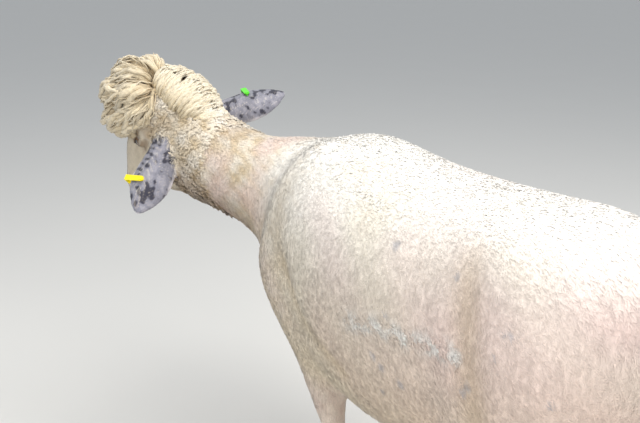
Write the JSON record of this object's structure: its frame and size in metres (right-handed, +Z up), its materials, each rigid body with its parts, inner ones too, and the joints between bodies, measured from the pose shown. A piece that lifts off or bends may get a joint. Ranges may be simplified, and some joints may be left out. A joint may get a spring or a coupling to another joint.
{
  "type": "shorn sheep figure",
  "caption": "Freshly shorn longwool ewe standing at ease, looking over her left shoulder, with an unshorn forelock and ear tags.",
  "frame": {"origin": "floor level under the middle of the bounding box", "axes": "+X along the body towards the head, +Y to the animal's left, +Z up"},
  "size_m": [1.2462, 0.4924, 0.8083],
  "materials": {
    "shorn_wool": "short shorn fleece, matt, cream to pinkish white",
    "long_wool": "long wavy locks, soft lustre, cream",
    "face_hair": "short close hair, off-white",
    "ear_skin": "fine hair over blue-grey skin with dark spots",
    "eye": "wet, dark brown, opaque",
    "hoof_horn": "dark horn, slightly worn",
    "yellow_tag": "plain moulded strap",
    "green_tag": "plain moulded strap"
  },
  "bodies": {
    "root": {"dewclaw_foreleg_left_inner": "hoof_horn", "dewclaw_foreleg_left_outer": "hoof_horn", "dewclaw_foreleg_right_inner": "hoof_horn", "dewclaw_foreleg_right_outer": "hoof_horn", "dewclaw_hindleg_left_inner": "hoof_horn", "dewclaw_hindleg_left_outer": "hoof_horn", "dewclaw_hindleg_right_inner": "hoof_horn", "dewclaw_hindleg_right_outer": "hoof_horn", "ear_left": "ear_skin", "ear_right": "ear_skin", "ear_tag_left": "yellow_tag", "ear_tag_right": "green_tag", "eye_left": "eye", "eye_right": "eye", "foreleg_left_lower": "shorn_wool", "foreleg_left_upper": "shorn_wool", "foreleg_right_lower": "shorn_wool", "foreleg_right_upper": "shorn_wool", "forelock": "long_wool", "head": "face_hair", "hindleg_left_lower": "shorn_wool", "hindleg_left_upper": "shorn_wool", "hindleg_right_lower": "shorn_wool", "hindleg_right_upper": "shorn_wool", "hoof_foreleg_left_inner": "hoof_horn", "hoof_foreleg_left_outer": "hoof_horn", "hoof_foreleg_right_inner": "hoof_horn", "hoof_foreleg_right_outer": "hoof_horn", "hoof_hindleg_left_inner": "hoof_horn", "hoof_hindleg_left_outer": "hoof_horn", "hoof_hindleg_right_inner": "hoof_horn", "hoof_hindleg_right_outer": "hoof_horn", "neck": "shorn_wool", "poll_wool": "long_wool", "tail": "shorn_wool", "trunk": "shorn_wool"}
  },
  "joints": []
}
